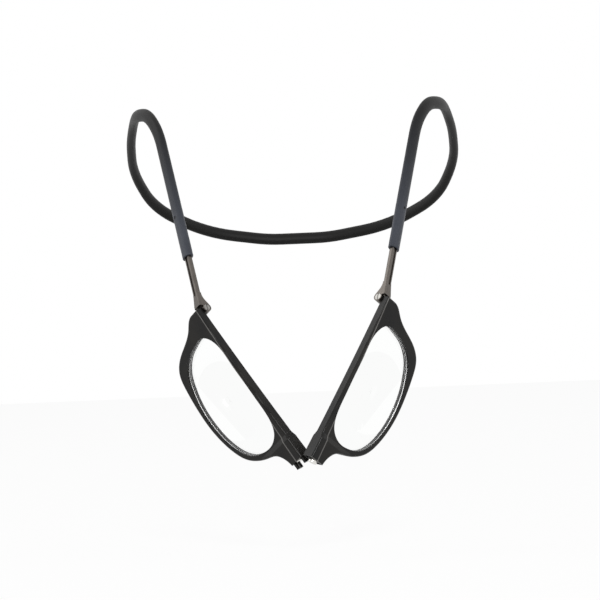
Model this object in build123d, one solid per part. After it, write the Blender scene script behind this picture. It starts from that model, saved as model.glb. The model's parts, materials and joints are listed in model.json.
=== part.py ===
from build123d import *
import math
import os

# Reading glasses that part at the nose and hang open from a one-piece neck band.
# Each half hinges on a metal temple arm, and the arm slides in a hollow end of the band.
# +X is to the right of someone facing the wearer, +Y is towards the back of the neck, +Z is up.
# The origin is midway between the two places where the band lies on the shoulders.

# Driving dimensions, in millimetres
half_length = 62.4          # hinge axis to the end of a bridge block
rim_drop = 28.9             # brow line down to the lowest point of the rim
rim_thickness = 3.1
brow_rim = 1.3              # brow line to the top of the lens opening
lower_rim = 1.9             # lens opening to the lowest point of the rim
temple_rim = 7.4            # hinge axis to the outer end of the opening
nose_rim = 10.2             # opening to the end of a bridge block
lens_width = half_length - temple_rim - nose_rim
lens_height = rim_drop - brow_rim - lower_rim
band_height = 4.8           # the band's section is an oval, taller than thick
band_thickness = 3.4
band_half_width = 63.3      # centre of the band's section, from the mirror plane
band_depth = 131.5          # mouths to the back of the neck
band_rise = 53.7            # mouths to the top of the shoulders
mouth_half_gap = 36.0       # mirror plane to the centre of a mouth
leg_length = 55.0           # straight end of the band
arm_height = 2.7
arm_thickness = 1.8
arm_length = 51.8           # hinge axis to the inner end of the metal
left_reach = 21.4           # hinge axis to mouth, as they hang: the left arm is further out
right_reach = 19.9
left_past_middle = 4.2      # end of the left half past the mirror plane, as they hang crossed
right_past_middle = -1.9    # the right half stops short of it, in front of the left one

# Angles, in degrees
leg_lean = 30.6             # the band's ends lean back from upright
leg_splay = 13.0            # and outwards
hinge_turn = 40.0           # turn of the hinge axis about the leg

# Shared clearances
overrun = 1.0
slide_gap = 0.3             # arm in the band's bore, all round
shoe_gap = 0.07
pivot_gap = 0.05
bonded_gap = 0.02
swing_gap = 0.2


# Frames of the left side. The right side is built the same way and mirrored.
lean = math.radians(leg_lean)
splay = math.radians(leg_splay)
leg_way = Vector(-math.cos(lean) * math.sin(splay), math.sin(lean), math.cos(lean) * math.cos(splay))
mouth = Vector(-mouth_half_gap, 0, 0)
forward = Vector(0, -1, 0)
square_to_leg = (forward - leg_way * leg_way.dot(forward)).normalized()
hinge_way = square_to_leg.rotate(Axis((0, 0, 0), leg_way), hinge_turn)
mouth_frame = Plane(origin=mouth, x_dir=leg_way, z_dir=leg_way.cross(hinge_way))

# The hinge axis lies on the inner side of the arm, and the brow line is at its top end
hinge_offset = 2.1
arm_level = 0.5             # middle of the arm below the brow line


def arm_frame(reach):
    """X runs from the hinge axis along the arm to the band, Y up the hinge axis, Z inwards."""
    shift = mouth_frame.x_dir * -reach + mouth_frame.z_dir * hinge_offset + hinge_way * arm_level
    return Plane(origin=mouth + shift, x_dir=leg_way, z_dir=mouth_frame.z_dir)


def front_frame(reach, past_middle):
    """X runs from the hinge axis to the nose, Y up the hinge axis, Z out of the front face."""
    hinge_point = arm_frame(reach).origin
    in_line = leg_way * -1
    square = hinge_way.cross(in_line)
    share = (past_middle - hinge_point.X) / half_length
    swing = math.atan2(square.X, in_line.X) - math.acos(share / math.hypot(square.X, in_line.X))
    along = in_line.rotate(Axis((0, 0, 0), hinge_way), math.degrees(swing))
    return Plane(origin=hinge_point, x_dir=along, z_dir=along.cross(hinge_way))


def rod(radius, low, high):
    """A round bar on the hinge axis between two heights."""
    return Plane.ZX.offset(low) * extrude(Circle(radius), high - low)


def block(x_low, x_high, y_low, y_high, z_low, z_high):
    """A box between stated planes."""
    size = (x_high - x_low, y_high - y_low, z_high - z_low)
    centre = ((x_high + x_low) / 2, (y_high + y_low) / 2, (z_high + z_low) / 2)
    return Pos(*centre) * Box(*size)


# Hinge stack: arm knuckle, washer, plate barrel, washer, arm knuckle
knuckle_radius = 1.6
knuckle_height = 1.1
barrel_height = 1.1
washer_space = 0.2
hinge_top = arm_height / 2 - arm_level
barrel_top = hinge_top - knuckle_height - washer_space
barrel_low = barrel_top - barrel_height
lower_knuckle_top = barrel_low - washer_space
hinge_low = lower_knuckle_top - knuckle_height
shank_radius = 0.55
head_radius = 1.2
head_height = 0.45
head_recess = 0.05

# Front half: the back face stands clear of the hinge axis
back_plane = 1.55
front_plane = back_plane + rim_thickness
endpiece_end = 0.9          # endpiece beyond the hinge axis
endpiece_drop = 4.2
brow_middle = 0.05          # the brow line rises a little towards the nose
brow_nose = 0.8
bridge_drop = 5.7
block_swell = 0.65          # the bridge block is thicker than the rim, front and back
block_length = 9.6
swell_run = 1.8
edge_round = 0.7

# Lower edge of the half from endpiece to bridge block, as shares of half_length and rim_drop
rim_edge_shares = [
    (-0.005, -0.215), (0.029, -0.318), (0.074, -0.536), (0.109, -0.744), (0.163, -0.886),
    (0.256, -0.955), (0.385, -0.993), (0.505, -1.0), (0.617, -0.965), (0.713, -0.896),
    (0.788, -0.796), (0.838, -0.657), (0.873, -0.478), (0.901, -0.318), (0.936, -0.249),
]

# Lens opening about its own centre, as shares of half of lens_width and lens_height
opening_shares = [
    (-1.0, 0.362), (-0.933, 0.798), (-0.728, 0.984), (-0.35, 0.998), (0.0, 1.0), (0.35, 0.995),
    (0.634, 0.977), (0.884, 0.813), (1.0, 0.432), (0.982, 0.012), (0.893, -0.393), (0.723, -0.689),
    (0.478, -0.891), (0.165, -0.992), (-0.17, -0.984), (-0.504, -0.844), (-0.768, -0.588),
    (-0.933, -0.167),
]
opening_x = temple_rim + lens_width / 2
opening_y = -brow_rim - lens_height / 2

# The lens has a thin flange round it, which sits in a groove of the rim
groove_depth = 0.45
flange_thickness = 1.0
lens_thickness = 1.6
lens_curve = 300.0
lens_plane = (back_plane + front_plane) / 2


def opening_face(plane, growth):
    """The lens opening, larger all round by the growth, as a flat face."""
    half_width = lens_width / 2 + growth
    half_height = lens_height / 2 + growth
    points = []
    for x_share, y_share in opening_shares:
        points.append((opening_x + x_share * half_width, opening_y + y_share * half_height))
    return Pos(0, 0, plane) * make_face(Spline(points, periodic=True))


def rim_face():
    """The outline of a whole half, seen from in front."""
    low_corner = (-endpiece_end, -endpiece_drop)
    nose_corner = (half_length, -bridge_drop)
    edge = [low_corner]
    for x_share, y_share in rim_edge_shares:
        edge.append((x_share * half_length, y_share * rim_drop))
    edge.append(nose_corner)
    lower = Spline(edge)
    nose = Line(nose_corner, (half_length, brow_nose))
    brow = ThreePointArc((half_length, brow_nose), (half_length / 2, brow_middle), (-endpiece_end, 0))
    end = Line((-endpiece_end, 0), low_corner)
    return make_face(lower + nose + brow + end)


def thickness_body():
    """The half seen from above: thin along the rim and swollen at the bridge block."""
    low = -endpiece_end - overrun
    high = half_length + overrun
    swollen = half_length - block_length + swell_run
    profile = Polyline(
        (low, back_plane), (swollen - swell_run, back_plane), (swollen, back_plane - block_swell),
        (high, back_plane - block_swell), (high, front_plane + block_swell),
        (swollen, front_plane + block_swell), (swollen - swell_run, front_plane), (low, front_plane),
        close=True)
    depth = rim_drop + brow_nose + 2 * overrun
    face = Plane.XZ * make_face(profile)
    return Pos(0, brow_nose + overrun, 0) * extrude(face, depth)


# Bridge: a round magnet in each block; two prongs on the left enter two sockets on the right
magnet_radius = 1.6
magnet_length = 3.2
magnet_level = (brow_nose - bridge_drop) / 2
left_magnet_proud = 0.4
right_magnet_proud = 0.9
prong_length = 2.2
prong_height = 1.0
prong_width = 2.4
prong_from_magnet = 0.25
socket_gap = 0.15


def magnet(proud, gap):
    """A round magnet, or with a gap its pocket, standing out of the end of a bridge block."""
    start = half_length + proud - magnet_length - gap
    turned = Plane(origin=(start, magnet_level, lens_plane), z_dir=(1, 0, 0))
    return turned * extrude(Circle(magnet_radius + gap), magnet_length + gap)


def prongs(gap, start, reach):
    """The pair of prongs above and below the magnet, or with a gap their sockets."""
    pair = []
    near = magnet_radius + prong_from_magnet
    for way in (1, -1):
        near_edge = magnet_level + way * (near - gap)
        far_edge = magnet_level + way * (near + prong_height + gap)
        half_width = prong_width / 2 + gap
        pair.append(block(start, reach, min(near_edge, far_edge), max(near_edge, far_edge),
                          lens_plane - half_width, lens_plane + half_width))
    return pair


# Hinge plate: a leaf let into the back of the endpiece, with the middle barrel of the hinge
plate_start = 1.5
plate_length = 4.3
plate_height = 3.3
plate_thickness = 1.0
plate_proud = 0.2
plate_round = 0.6
web_start = 0.6
web_length = 1.2
plate_top = barrel_top


def plate_leaf(gap):
    """The flat leaf, or with a gap its pocket in the endpiece."""
    centre_x = plate_start + plate_length / 2
    centre_y = plate_top - plate_height / 2
    outline = RectangleRounded(plate_length + 2 * gap, plate_height + 2 * gap, plate_round)
    face = Pos(centre_x, centre_y, back_plane - plate_proud) * outline
    return extrude(face, plate_thickness + gap)


def hinge_plate():
    barrel = rod(knuckle_radius, barrel_low, barrel_top)
    web = block(web_start, web_start + web_length, barrel_low, barrel_top, web_start, back_plane)
    leaf = plate_leaf(0)
    return leaf + web + barrel - rod(shank_radius + pivot_gap, barrel_low - overrun, barrel_top + overrun)


def front_half(is_left):
    outline = Pos(0, 0, -overrun) * rim_face()
    body = extrude(outline, front_plane + block_swell + 2 * overrun) & thickness_body()
    if is_left:
        for prong in prongs(0, half_length - overrun, half_length + prong_length):
            body += prong
    else:
        depth = prong_length - left_magnet_proud - right_magnet_proud + socket_gap
        for socket in prongs(socket_gap, half_length - depth, half_length + overrun):
            body -= socket
    edges = body.edges().filter_by_position(Axis.Z, front_plane, front_plane + block_swell)
    edges = edges.filter_by_position(Axis.X, -endpiece_end, half_length - edge_round)
    body = fillet(edges, edge_round)
    body -= extrude(opening_face(back_plane - overrun, 0), rim_thickness + 2 * overrun)
    groove = opening_face(lens_plane - flange_thickness / 2 - pivot_gap, groove_depth)
    body -= extrude(groove, flange_thickness + 2 * pivot_gap)
    body -= rod(knuckle_radius + swing_gap, hinge_low - swing_gap, hinge_top + overrun)
    body -= plate_leaf(bonded_gap)
    proud = left_magnet_proud if is_left else right_magnet_proud
    return body - magnet(proud, bonded_gap)


def lens():
    """A thin meniscus whose flange fits the groove of the rim."""
    flange = opening_face(lens_plane - flange_thickness / 2, groove_depth - pivot_gap)
    body = extrude(flange, flange_thickness)
    dome = extrude(opening_face(back_plane, -pivot_gap), rim_thickness)
    crown = front_plane - 2 * pivot_gap
    centre = Pos(opening_x, opening_y, crown - lens_curve)
    dome = dome & centre * Sphere(lens_curve)
    dome -= centre * Pos(0, 0, -lens_thickness) * Sphere(lens_curve)
    return body + dome


# Temple arm: a grooved bar that flares to the two outer knuckles of the hinge
flare_length = 6.0
butt_start = 0.7            # the arm's end stands this far from the hinge axis
flare_waist = 3.2
flare_waist_drop = 0.6
flare_corner = 0.45
groove_width = 1.0
groove_cut = 0.35
groove_start = 5.0
tang_length = 3.4
tang_height = 1.8
tang_thickness = 0.9
tang_corner = 0.3
bar_corner = 0.55
outer_face = -hinge_offset - arm_thickness / 2
inner_face = -hinge_offset + arm_thickness / 2
bar_low = -arm_level - arm_height / 2
bar_end = arm_length - tang_length
groove_end = bar_end - groove_cut
slot_radius = math.hypot(web_start + web_length, back_plane) + swing_gap / 2


def bar(start, length, height, thickness, corner):
    """A rounded bar along the arm."""
    turned = Plane(origin=(start, -arm_level, -hinge_offset), x_dir=(0, 1, 0), z_dir=(1, 0, 0))
    return extrude(turned * RectangleRounded(height, thickness, corner), length)


def flare_body():
    """From above a curve from the bar to the knuckles; from the side a taper to their height."""
    tangent_x = knuckle_radius / 2
    tangent_z = math.sqrt(knuckle_radius ** 2 - tangent_x ** 2)
    curve = Spline((flare_length, inner_face), (tangent_x, tangent_z),
                   tangents=[(-1, 0), (-tangent_z, tangent_x)])
    butt_z = -math.sqrt(knuckle_radius ** 2 - butt_start ** 2)
    sides = Polyline(
        (tangent_x, tangent_z), (0, 0), (butt_start, butt_z), (butt_start, outer_face),
        (flare_length, outer_face), (flare_length, inner_face))
    from_above = Plane.XZ * make_face(curve + sides)
    body = Pos(0, hinge_top, 0) * extrude(from_above, hinge_top - hinge_low)
    side_view = Polyline(
        (-knuckle_radius, hinge_top), (flare_length, hinge_top), (flare_length, bar_low),
        (flare_waist, bar_low - flare_waist_drop), (knuckle_radius, hinge_low),
        (-knuckle_radius, hinge_low), close=True)
    depth = 2 * hinge_offset + arm_thickness + overrun
    body = body & Pos(0, 0, outer_face - overrun) * extrude(make_face(side_view), depth)
    outer_edges = body.edges().filter_by_position(Axis.Z, outer_face, outer_face)
    return fillet(outer_edges.filter_by(Axis.Y, reverse=True), flare_corner)


def temple_arm():
    body = flare_body()
    body += rod(knuckle_radius, barrel_top + washer_space, hinge_top)
    body += rod(knuckle_radius, hinge_low, lower_knuckle_top)
    body -= rod(slot_radius, lower_knuckle_top, barrel_top + washer_space)
    start = flare_length - bar_corner
    body += bar(start, bar_end - start, arm_height, arm_thickness, bar_corner)
    body += bar(bar_end - overrun, tang_length + overrun, tang_height, tang_thickness, tang_corner)
    length = groove_end - groove_start
    middle = (groove_end + groove_start) / 2
    groove = Pos(middle, -arm_level, outer_face - overrun) * SlotOverall(length, groove_width)
    body -= extrude(groove, groove_cut + overrun)
    body -= rod(shank_radius + bonded_gap, hinge_low - overrun, hinge_top + overrun)
    body -= rod(head_radius + 2 * pivot_gap, hinge_top - head_height - head_recess, hinge_top + overrun)
    return body


# Screw and washers
screw_slot_width = 0.3
screw_slot_depth = 0.25
shank_end_gap = 0.15
washer_radius = 1.5
washer_play = 0.01


def hinge_screw():
    head_top = hinge_top - head_recess
    body = rod(head_radius, head_top - head_height, head_top)
    body += rod(shank_radius, hinge_low + shank_end_gap, head_top - head_height)
    half_width = screw_slot_width / 2
    reach = head_radius + overrun
    low = head_top - screw_slot_depth
    return body - block(-reach, reach, low, head_top + overrun, -half_width, half_width)


def hinge_washers():
    pair = []
    for low in (barrel_top, lower_knuckle_top):
        ring = rod(washer_radius, low + washer_play, low + washer_space - washer_play)
        pair.append(ring - rod(shank_radius + pivot_gap, low, low + washer_space))
    return Compound(children=pair)


# Slider shoe on the arm's inner end, a running fit in the bore
bore_height = arm_height + 2 * slide_gap
bore_thickness = arm_thickness + 2 * slide_gap
bore_depth = 48.0
shoe_wall = 1.0


def slider_shoe():
    turned = Plane(origin=(bar_end, -arm_level, -hinge_offset), x_dir=(0, 1, 0), z_dir=(1, 0, 0))
    outline = Ellipse(bore_height / 2 - shoe_gap, bore_thickness / 2 - shoe_gap)
    body = extrude(turned * outline, tang_length + shoe_wall)
    gap = 2 * bonded_gap
    length = tang_length + overrun + bonded_gap
    return body - bar(bar_end - overrun, length, tang_height + gap, tang_thickness + gap, tang_corner)


# Retaining pin through the outer wall of the band, its tip in the arm's groove
pin_from_mouth = 17.0
pin_radius = 0.4
pit_radius = 0.55
pit_depth = 0.2
pin_tip_gap = 0.15


def pin_bar(radius, start, end):
    """A round bar across the tube, from one depth to another below the middle of the bore."""
    return Pos(pin_from_mouth, 0, -end) * extrude(Circle(radius), end - start)


def retaining_pin():
    inner = arm_thickness / 2 - groove_cut + pin_tip_gap
    return pin_bar(pin_radius, inner, band_thickness / 2 - pit_depth)


# Headband: corners of its centre line past the straight leg, as shares of
# band_half_width, band_depth and band_rise, joined by the largest arcs that the runs allow
band_corner_shares = [
    (0.807, 0.289, 0.995), (0.886, 0.38, 1.011), (0.923, 0.487, 0.99), (0.97, 0.608, 0.862),
    (0.989, 0.753, 0.665), (0.885, 0.88, 0.41), (0.569, 0.97, 0.222), (0.19, 1.0, 0.154),
    (0.0, 1.0, 0.154),
]
arc_run_share = 0.45
rest_depth_share = 0.444
rest_height_share = 0.954
mouth_round = 0.25


def band_path():
    corners = [mouth, mouth + leg_way * leg_length]
    for x_share, y_share, z_share in band_corner_shares:
        corners.append(Vector(-x_share * band_half_width, y_share * band_depth, z_share * band_rise))
    radii = []
    for before, corner, after in zip(corners, corners[1:], corners[2:]):
        turn = (corner - before).get_angle(after - corner)
        shorter = min((corner - before).length, (after - corner).length)
        radii.append(arc_run_share * shorter / math.tan(math.radians(turn / 2)))
    return FilletPolyline(*corners, radius=radii)


def headband():
    across = Plane(origin=mouth, x_dir=hinge_way, z_dir=leg_way)
    half = sweep(across * Ellipse(band_height / 2, band_thickness / 2), path=band_path())
    mouth_edge = half.edges().sort_by_distance(mouth)[0]
    half = fillet(mouth_edge, mouth_round)
    bore = Ellipse(bore_height / 2, bore_thickness / 2)
    half -= extrude(across.offset(-overrun) * bore, bore_depth + overrun)
    hole = pin_bar(pin_radius + bonded_gap, 0, band_thickness / 2 + overrun)
    pit = pin_bar(pit_radius, band_thickness / 2 - pit_depth, band_thickness / 2 + overrun)
    half -= mouth_frame.location * (hole + pit)
    return half + mirror(half, about=Plane.YZ)


# Placing and writing
to_rest = Pos(0, -rest_depth_share * band_depth, -rest_height_share * band_rise)


def place(shape, frame, is_left):
    """A left-side shape in its frame, mirrored for the right side, moved to the rest origin."""
    placed = frame.location * shape
    if not is_left:
        placed = mirror(placed, about=Plane.YZ)
    return to_rest * placed


def main():
    os.makedirs("parts", exist_ok=True)
    nodes = {"headband": to_rest * headband()}
    for side, is_left, reach, past_middle in (
            ("left", True, left_reach, left_past_middle),
            ("right", False, right_reach, right_past_middle)):
        arm = arm_frame(reach)
        front = front_frame(reach, past_middle)
        proud = left_magnet_proud if is_left else right_magnet_proud
        nodes[side + "_front_half"] = place(front_half(is_left), front, is_left)
        nodes[side + "_lens"] = place(lens(), front, is_left)
        nodes[side + "_bridge_magnet"] = place(magnet(proud, 0), front, is_left)
        nodes[side + "_hinge_plate"] = place(hinge_plate(), front, is_left)
        nodes[side + "_temple_arm"] = place(temple_arm(), arm, is_left)
        nodes[side + "_slider_shoe"] = place(slider_shoe(), arm, is_left)
        nodes[side + "_hinge_screw"] = place(hinge_screw(), arm, is_left)
        nodes[side + "_hinge_washers"] = place(hinge_washers(), arm, is_left)
        nodes[side + "_retaining_pin"] = place(retaining_pin(), mouth_frame, is_left)
    for name, shape in nodes.items():
        export_step(shape, "parts/" + name + ".step")


main()
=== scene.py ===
import json
import math

import bmesh
import bpy
from mathutils import Euler, Matrix, Vector


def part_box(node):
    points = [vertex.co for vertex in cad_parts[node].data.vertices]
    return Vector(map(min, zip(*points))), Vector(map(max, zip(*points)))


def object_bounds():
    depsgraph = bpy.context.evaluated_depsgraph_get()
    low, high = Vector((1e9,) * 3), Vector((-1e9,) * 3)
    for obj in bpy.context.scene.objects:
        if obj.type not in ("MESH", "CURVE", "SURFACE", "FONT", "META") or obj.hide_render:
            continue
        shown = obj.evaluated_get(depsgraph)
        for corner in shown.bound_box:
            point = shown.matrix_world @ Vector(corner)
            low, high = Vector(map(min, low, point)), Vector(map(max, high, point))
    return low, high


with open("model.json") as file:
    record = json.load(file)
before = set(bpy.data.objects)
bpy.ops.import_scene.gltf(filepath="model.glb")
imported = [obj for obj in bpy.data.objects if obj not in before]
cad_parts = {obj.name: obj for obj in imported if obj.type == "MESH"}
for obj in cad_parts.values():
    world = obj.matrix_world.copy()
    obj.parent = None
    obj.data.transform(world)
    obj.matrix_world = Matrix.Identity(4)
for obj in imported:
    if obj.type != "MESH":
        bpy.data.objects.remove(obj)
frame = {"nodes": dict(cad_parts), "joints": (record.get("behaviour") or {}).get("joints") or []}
cad_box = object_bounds()


# Camera. The glasses hang as on a wearer and are seen from in front, from nearly a metre
# away and level with the lenses, a little to one side and very slightly tilted.
eye = Vector((0.023192, -0.958091, -0.067668))
lens_length = 154.22
sensor_width = 36.0
nearest = 0.02
raised_to_level = math.radians(90)      # a camera looks straight down before it is turned
turn_from_front = math.radians(1.314)
tilt = math.radians(-2.395)
camera_data = bpy.data.cameras.new("camera")
camera_data.lens = lens_length
camera_data.sensor_width = sensor_width
camera_data.clip_start = nearest
camera = bpy.data.objects.new("camera", camera_data)
bpy.context.scene.collection.objects.link(camera)
level = Euler((raised_to_level, 0, turn_from_front)).to_matrix()
camera.matrix_world = Matrix.Translation(eye) @ (level @ Matrix.Rotation(tilt, 3, "Z")).to_4x4()
bpy.context.scene.camera = camera
bpy.context.scene.view_settings.view_transform = "Standard"


# Room. A white sweep all round, which lights the glasses more weakly than it looks,
# and a plain pale floor three centimetres below their lowest point.
white = (1.0, 1.0, 1.0, 1)
room_light = 0.42
floor_size = 3.0
floor_drop = 0.03
floor_colour = (0.95, 0.95, 0.945, 1)
floor_roughness = 0.3
floor_glow = 0.93


class Wire:
    """One output of a material's nodes. Sums, products and absolute values add Math nodes."""

    def __init__(self, socket):
        self.socket = socket

    def node(self, kind, settings, inputs, out=0):
        """Adds a node, sets it first, then feeds its sockets by identifier. Gives one output."""
        added = self.socket.id_data.nodes.new(kind)
        for name, value in settings.items():
            setattr(added, name, value)
        for socket in added.inputs:
            if socket.identifier in inputs:
                value = inputs[socket.identifier]
                if isinstance(value, Wire):
                    self.socket.id_data.links.new(value.socket, socket)
                else:
                    socket.default_value = value
        return Wire(added.outputs[out]) if added.outputs else added

    def maths(self, operation, first, second):
        values = {"Value": first, "Value_001": second}
        return self.node("ShaderNodeMath", {"operation": operation}, values)

    def maximum(self, other):
        return self.maths("MAXIMUM", self, other)

    def __abs__(self):
        return self.maths("ABSOLUTE", self, 0)

    def __add__(self, other):
        return self.maths("ADD", self, other)

    def __radd__(self, other):
        return self.maths("ADD", other, self)

    def __sub__(self, other):
        return self.maths("SUBTRACT", self, other)

    def __rsub__(self, other):
        return self.maths("SUBTRACT", other, self)

    def __mul__(self, other):
        return self.maths("MULTIPLY", self, other)

    def __rmul__(self, other):
        return self.maths("MULTIPLY", other, self)


def seen_directly(tree):
    """1 for rays that show the background itself, straight on, in gloss or through a lens."""
    rays = tree.nodes.new("ShaderNodeLightPath").outputs
    straight_on = Wire(rays["Is Camera Ray"])
    in_gloss = Wire(rays["Is Glossy Ray"])
    through_a_lens = Wire(rays["Is Transmission Ray"])
    return straight_on.maximum(in_gloss).maximum(through_a_lens)


world = bpy.data.worlds.new("room")
world.use_nodes = True
bpy.context.scene.world = world
direct = seen_directly(world.node_tree)
background = world.node_tree.nodes["Background"]
background.inputs["Color"].default_value = white
strength = direct * (1 - room_light) + room_light
world.node_tree.links.new(strength.socket, background.inputs["Strength"])

floor_height = cad_box[0][2] - floor_drop
sheet = bmesh.new()
bmesh.ops.create_grid(sheet, x_segments=1, y_segments=1, size=floor_size / 2,
                      matrix=Matrix.Translation((0, 0, floor_height)))
floor_mesh = bpy.data.meshes.new("floor")
sheet.to_mesh(floor_mesh)
sheet.free()
floor = bpy.data.objects.new("floor", floor_mesh)
bpy.context.scene.collection.objects.link(floor)
floor_finish = bpy.data.materials.new("floor_paint")
floor_finish.use_nodes = True
floor_finish.node_tree.nodes.clear()
direct = seen_directly(floor_finish.node_tree)
paint = direct.node("ShaderNodeBsdfDiffuse", {}, {
    "Color": floor_colour,
    "Roughness": floor_roughness})
glow = direct.node("ShaderNodeEmission", {}, {"Color": white, "Strength": 1.0})
painted = direct.node("ShaderNodeMixShader", {}, {
    "Fac": direct * floor_glow,
    "Shader": paint,
    "Shader_001": glow})
painted.node("ShaderNodeOutputMaterial", {"target": "ALL"}, {"Surface": painted})
floor_mesh.materials.append(floor_finish)


# Lamps. A small soft box over the camera lights the front edge of the brows, two broad
# ones at the left light the faces and the tops of the brows, and one at the right fills in.
lit_spot = Vector((0, -0.08, -0.08))
for lamp_name, place, width, watts in (
        ("over_camera", (0.15, -1.06, 0.56), 0.26, 5.0),
        ("left", (-1.15, -0.25, 0.10), 0.90, 3.2),
        ("right", (1.05, -0.45, 0.45), 0.45, 1.0),
        ("upper_left", (-0.80, 0.10, 0.72), 0.50, 1.5)):
    lamp_data = bpy.data.lights.new(lamp_name, "AREA")
    lamp_data.shape = "SQUARE"
    lamp_data.size = width
    lamp_data.energy = watts
    lamp = bpy.data.objects.new(lamp_name, lamp_data)
    bpy.context.scene.collection.objects.link(lamp)
    aim = (lit_spot - Vector(place)).to_track_quat("-Z", "Y")
    lamp.matrix_world = Matrix.Translation(place) @ aim.to_matrix().to_4x4()


# Headband. One moulding in soft-touch black rubber over a stiff core. It has a fine skin
# like an orange's, and has a painted sheen, paler and bluer towards its ends and in clouds.
band_dark = (0.004, 0.0038, 0.0036, 1)
band_sheen_colour = (0.062, 0.068, 0.085, 1)
band_shine = 0.2
band_roughness = 0.46
skin_roughness = 0.08
sheen_smoother = 0.1
sheen_from = -0.026                    # on the Y axis, so this far in front of the shoulders
sheen_all = -0.062
sheen_least = 0.55
sheen_in_clouds = 0.7
skin_share = 0.6


def new_finish(name):
    """An empty material. Gives it and the wire of the object's own coordinates, in metres."""
    finish = bpy.data.materials.new(name)
    finish.use_nodes = True
    finish.node_tree.nodes.clear()
    return finish, Wire(finish.node_tree.nodes.new("ShaderNodeTexCoord").outputs["Object"])


def put_on(finish, shader, *nodes):
    """Ends a material with its shader and lays it on CAD nodes."""
    shader.node("ShaderNodeOutputMaterial", {"target": "ALL"}, {"Surface": shader})
    for name in nodes:
        for slot in frame["nodes"][name].material_slots:
            slot.material = finish


def grain(where, per_metre, detail=2.0, roughness=0.5):
    """Noise from 0 to 1 with so many grains in a metre."""
    return where.node("ShaderNodeTexNoise", {"noise_dimensions": "3D"}, {
        "Vector": where,
        "Scale": per_metre,
        "Detail": detail,
        "Roughness": roughness})


def blend(share, first, second):
    """A colour between two, by a wire from 0 to 1."""
    colours = {"Factor_Float": share, "A_Color": first, "B_Color": second}
    return share.node("ShaderNodeMix", {"data_type": "RGBA"}, colours, out=2)


def steps(share, low, high):
    """Stretches the part of a wire between two levels to 0 to 1, and cuts off the rest."""
    levels = {"Value": share, "From Min": low, "From Max": high}
    return share.node("ShaderNodeMapRange", {"interpolation_type": "SMOOTHSTEP"}, levels)


def dents(height, depth, strength):
    """The Normal of a surface with a relief of that depth, in metres."""
    relief = {"Height": height, "Distance": depth, "Strength": strength}
    return height.node("ShaderNodeBump", {}, relief)


band_finish, at = new_finish("soft_touch_rubber")
clouds = grain(at, per_metre=110, detail=4.0, roughness=0.65)
skin = grain(at, per_metre=2600)
pores = grain(at, per_metre=9000, detail=1.0)
backwards = at.node("ShaderNodeSeparateXYZ", {}, {"Vector": at}, out="Y")
# Painted sheen: paler and bluer towards the front ends of the band, in clouds.
towards_ends = 1 - steps(backwards, low=sheen_all, high=sheen_from)
painted_sheen = towards_ends * (sheen_least + clouds * sheen_in_clouds)
relief = skin * skin_share + pores * (1 - skin_share)
shader = at.node("ShaderNodeBsdfPrincipled", {}, {
    "Base Color": blend(painted_sheen, band_dark, band_sheen_colour),
    "Roughness": band_roughness - painted_sheen * sheen_smoother + skin * skin_roughness,
    "Specular IOR Level": band_shine,
    "Normal": dents(relief, depth=0.00004, strength=0.35)})
put_on(band_finish, shader, "headband")


# Front halves. Injection moulded in matte black nylon, with a spark-eroded texture from
# the mould. The rounded edge between brow and face carries a painted highlight line.
nylon_dark = (0.0025, 0.0025, 0.0025, 1)
nylon_pale = (0.009, 0.0078, 0.0062, 1)
nylon_shine = 0.22
nylon_roughness = 0.24
spark_roughness = 0.1
cloud_roughness = 0.06
highlight_pale = (0.16, 0.155, 0.148, 1)
edge_half_width = 0.00022
edge_softness = 0.5
highlight_least = 0.5
highlight_in_clouds = 0.7
face_from_hinge = 0.00465               # from the hinge's axis forwards to the face
block_from_hinge = 0.0528               # from the hinge's axis to where the bridge block begins
block_slope = 0.0018
block_swell = 0.00065
brow_start = -0.0000086                 # the brow's height over the hinge, where it starts
brow_slope = -0.0092                    # times the length from the hinge
brow_curve = 0.355                      # times that length squared


def along_axis(where, axis):
    """How far a place or a direction reaches along an axis."""
    vectors = {"Vector": where, "Vector_001": axis}
    return where.node("ShaderNodeVectorMath", {"operation": "DOT_PRODUCT"}, vectors, out="Value")


joints = {joint["name"]: joint for joint in frame["joints"]}
outwards = {}
for side, way in (("left", 1), ("right", -1)):
    hinge_axis = Vector(joints[side + "_hinge"]["axis"])
    pivot = Vector(joints[side + "_hinge"]["pos_m"])
    up = hinge_axis * way
    low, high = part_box(side + "_bridge_magnet")
    to_bridge = (Vector(low) + Vector(high)) / 2 - pivot
    to_bridge = (to_bridge - up * to_bridge.dot(up)).normalized()
    outwards[side] = to_bridge.cross(hinge_axis)
    front_finish, at = new_finish("matte_black_nylon_" + side)
    clouds = grain(at, per_metre=140, detail=3.0, roughness=0.55)
    spark = grain(at, per_metre=5200, detail=3.0, roughness=0.7)
    length, height, depth = [
        along_axis(at, axis) - axis.dot(pivot) for axis in (to_bridge, up, outwards[side])]
    brow = length * length * brow_curve + length * brow_slope + brow_start
    face = at.node("ShaderNodeMapRange", {}, {
        "Value": length,
        "From Min": block_from_hinge,
        "From Max": block_from_hinge + block_slope,
        "To Min": face_from_hinge,
        "To Max": face_from_hinge + block_swell})
    # Painted highlight: a pale line along the rounded front edge of the brow, in clouds.
    off_edge = abs(brow - height - face + depth)
    edge = 1 - steps(off_edge, low=edge_half_width * (1 - edge_softness),
                     high=edge_half_width * (1 + edge_softness))
    nylon = blend(steps(clouds, low=0.3, high=0.7), nylon_dark, nylon_pale)
    shader = at.node("ShaderNodeBsdfPrincipled", {}, {
        "Base Color": blend(edge * (highlight_least + clouds * highlight_in_clouds), nylon, highlight_pale),
        "Roughness": nylon_roughness + spark * spark_roughness + clouds * cloud_roughness,
        "Specular IOR Level": nylon_shine,
        "Normal": dents(spark, depth=0.00002, strength=0.25)})
    put_on(front_finish, shader, side + "_front_half")


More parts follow.
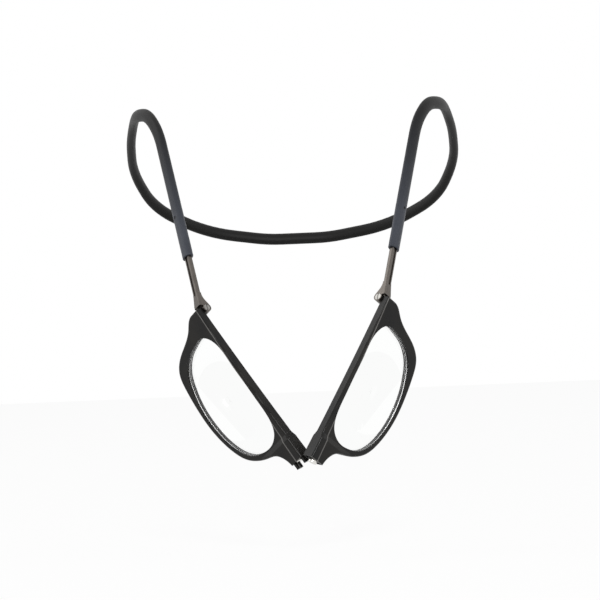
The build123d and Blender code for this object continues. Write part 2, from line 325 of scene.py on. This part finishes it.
# Lenses. Clear hard-coated plastic, ground to a thin meniscus. The coat leaves faint
# polishing haze, and the edge that sits in the groove of the rim is ground matt.
lens_tint = (0.985, 0.995, 0.99, 1)
coat_tint = (0.995, 0.995, 0.99, 1)
lens_index = 1.5
haze_roughness = 0.02
ground_roughness = 0.4
for side in ("left", "right"):
    lens_finish, at = new_finish("clear_lens_" + side)
    haze = grain(at, per_metre=60)
    normal = at.node("ShaderNodeTexCoord", {}, {}, out="Normal")
    facing = abs(along_axis(normal, outwards[side]))
    ground = 1 - steps(facing, low=0.3, high=0.8)
    hazy = steps(haze, low=0.45, high=0.8)
    shader = at.node("ShaderNodeBsdfPrincipled", {}, {
        "Base Color": blend(haze, lens_tint, coat_tint),
        "Roughness": hazy * haze_roughness + ground * ground_roughness,
        "IOR": lens_index,
        "Transmission Weight": 1.0})
    put_on(lens_finish, shader, side + "_lens")


# Bridge magnets. Round neodymium magnets, pressed and glued into the bridge blocks and
# plated in bright nickel, with fine scuffs from snapping together.
nickel_dark = (0.60, 0.585, 0.55, 1)
nickel_pale = (0.78, 0.765, 0.73, 1)
nickel_roughness = 0.14
scuff_roughness = 0.22
magnet_finish, at = new_finish("bright_nickel")
scuffs = steps(grain(at, per_metre=3000, detail=4.0, roughness=0.7), low=0.52, high=0.7)
shade = grain(at, per_metre=500)
shader = at.node("ShaderNodeBsdfPrincipled", {}, {
    "Base Color": blend(shade, nickel_dark, nickel_pale),
    "Metallic": 1.0,
    "Roughness": nickel_roughness + scuffs * scuff_roughness,
    "Normal": dents(scuffs, depth=0.00001, strength=0.25)})
put_on(magnet_finish, shader, "left_bridge_magnet", "right_bridge_magnet")


# Temple arms. Flat bars stamped in nickel silver, with a long groove on the outer face,
# brushed along their length and plated gunmetal.
gunmetal_dark = (0.05, 0.045, 0.041, 1)
gunmetal_pale = (0.20, 0.18, 0.162, 1)
gunmetal_roughness = 0.26
brushed_roughness = 0.16
brushed_share = 0.6
brush_strokes = (0.03, 1, 1)            # the grain drawn out along the arm
for side in ("left", "right"):
    along_arm = Vector(joints[side + "_slide"]["axis"])
    turned = along_arm.to_track_quat("X", "Z").inverted().to_euler()
    arm_finish, at = new_finish("brushed_gunmetal_" + side)
    lengthwise = at.node("ShaderNodeMapping", {}, {"Vector": at, "Rotation": turned})
    stretched = at.node("ShaderNodeMapping", {}, {"Vector": lengthwise, "Scale": brush_strokes})
    brushed = grain(stretched, per_metre=7000, detail=3.0, roughness=0.65)
    shade = grain(at, per_metre=260, detail=3.0, roughness=0.6)
    mottled = brushed * brushed_share + shade * (1 - brushed_share)
    shader = at.node("ShaderNodeBsdfPrincipled", {}, {
        "Base Color": blend(mottled, gunmetal_dark, gunmetal_pale),
        "Metallic": 1.0,
        "Roughness": gunmetal_roughness + brushed * brushed_roughness,
        "Normal": dents(brushed, depth=0.000015, strength=0.35)})
    put_on(arm_finish, shader, side + "_temple_arm")


# Hinge plates. Each is stamped steel, a leaf and a rolled barrel in one, and is moulded
# into the back of the endpiece.
steel_dark = (0.20, 0.195, 0.19, 1)
steel_pale = (0.36, 0.355, 0.345, 1)
steel_roughness = 0.3
rolled_roughness = 0.15
rolling = (1, 0.15, 1)                  # the grain drawn out by the rolls
plate_finish, at = new_finish("stamped_steel")
drawn_out = at.node("ShaderNodeMapping", {}, {"Vector": at, "Scale": rolling})
rolled = grain(drawn_out, per_metre=5200, detail=3.0)
shader = at.node("ShaderNodeBsdfPrincipled", {}, {
    "Base Color": blend(rolled, steel_dark, steel_pale),
    "Metallic": 1.0,
    "Roughness": steel_roughness + rolled * rolled_roughness,
    "Normal": dents(rolled, depth=0.00001, strength=0.3)})
put_on(plate_finish, shader, "left_hinge_plate", "right_hinge_plate")


# Retaining pins. Each is cut from blackened wire and pressed into the side of the tube,
# where its end shows as a dark dot in a shallow pit.
oxide_dark = (0.012, 0.011, 0.011, 1)
oxide_pale = (0.035, 0.033, 0.031, 1)
pin_metal = 0.8
pin_roughness = 0.4
oxide_roughness = 0.2
pin_finish, at = new_finish("blackened_wire")
oxide = grain(at, per_metre=4000, detail=3.0, roughness=0.6)
shader = at.node("ShaderNodeBsdfPrincipled", {}, {
    "Base Color": blend(oxide, oxide_dark, oxide_pale),
    "Metallic": pin_metal,
    "Roughness": pin_roughness + oxide * oxide_roughness,
    "Normal": dents(oxide, depth=0.00001, strength=0.3)})
put_on(pin_finish, shader, "left_retaining_pin", "right_retaining_pin")


# Hinge screws and washers. The screw is turned from bright steel rod, so rings run round
# its head, and the washers are punched from thin sheet and stay the same bright colour.
turned_dark = (0.17, 0.165, 0.155, 1)
turned_pale = (0.38, 0.37, 0.35, 1)
turned_roughness = 0.18
ring_roughness = 0.14
rings_per_millimetre = 14.0
millimetres = 1000                      # in a metre
flattened = (1, 1, 0)
for side in ("left", "right"):
    hinge = joints[side + "_hinge"]
    upright = Vector(hinge["axis"]).to_track_quat("Z", "X").inverted()
    centred = -(upright @ Vector(hinge["pos_m"]))
    screw_finish, at = new_finish("turned_steel_" + side)
    on_axis = at.node("ShaderNodeMapping", {}, {
        "Vector": at,
        "Location": centred,
        "Rotation": upright.to_euler()})
    flat = at.node("ShaderNodeVectorMath", {"operation": "MULTIPLY"}, {
        "Vector": on_axis,
        "Vector_001": flattened})
    radius = at.node("ShaderNodeVectorMath", {"operation": "LENGTH"}, {"Vector": flat}, out="Value")
    rings = at.node("ShaderNodeTexNoise", {"noise_dimensions": "1D"}, {
        "W": radius * millimetres,
        "Scale": rings_per_millimetre,
        "Detail": 2.0})
    tarnish = grain(at, per_metre=900, detail=3.0, roughness=0.6)
    shader = at.node("ShaderNodeBsdfPrincipled", {}, {
        "Base Color": blend(tarnish, turned_dark, turned_pale),
        "Metallic": 1.0,
        "Roughness": turned_roughness + rings * ring_roughness,
        "Normal": dents(rings, depth=0.00001, strength=0.4)})
    put_on(screw_finish, shader, side + "_hinge_screw", side + "_hinge_washers")


# Slider shoes. Black acetal caps, bonded on the inner ends of the arms so that they run
# quietly in the tube. They are hidden in the ends of the band.
acetal_dark = (0.012, 0.012, 0.012, 1)
acetal_pale = (0.026, 0.026, 0.026, 1)
acetal_roughness = 0.3
rub_roughness = 0.2
shoe_finish, at = new_finish("black_acetal")
rub = grain(at, per_metre=1500, detail=3.0, roughness=0.6)
shader = at.node("ShaderNodeBsdfPrincipled", {}, {
    "Base Color": blend(rub, acetal_dark, acetal_pale),
    "Roughness": acetal_roughness + rub * rub_roughness,
    "Normal": dents(rub, depth=0.00002, strength=0.25)})
put_on(shoe_finish, shader, "left_slider_shoe", "right_slider_shoe")
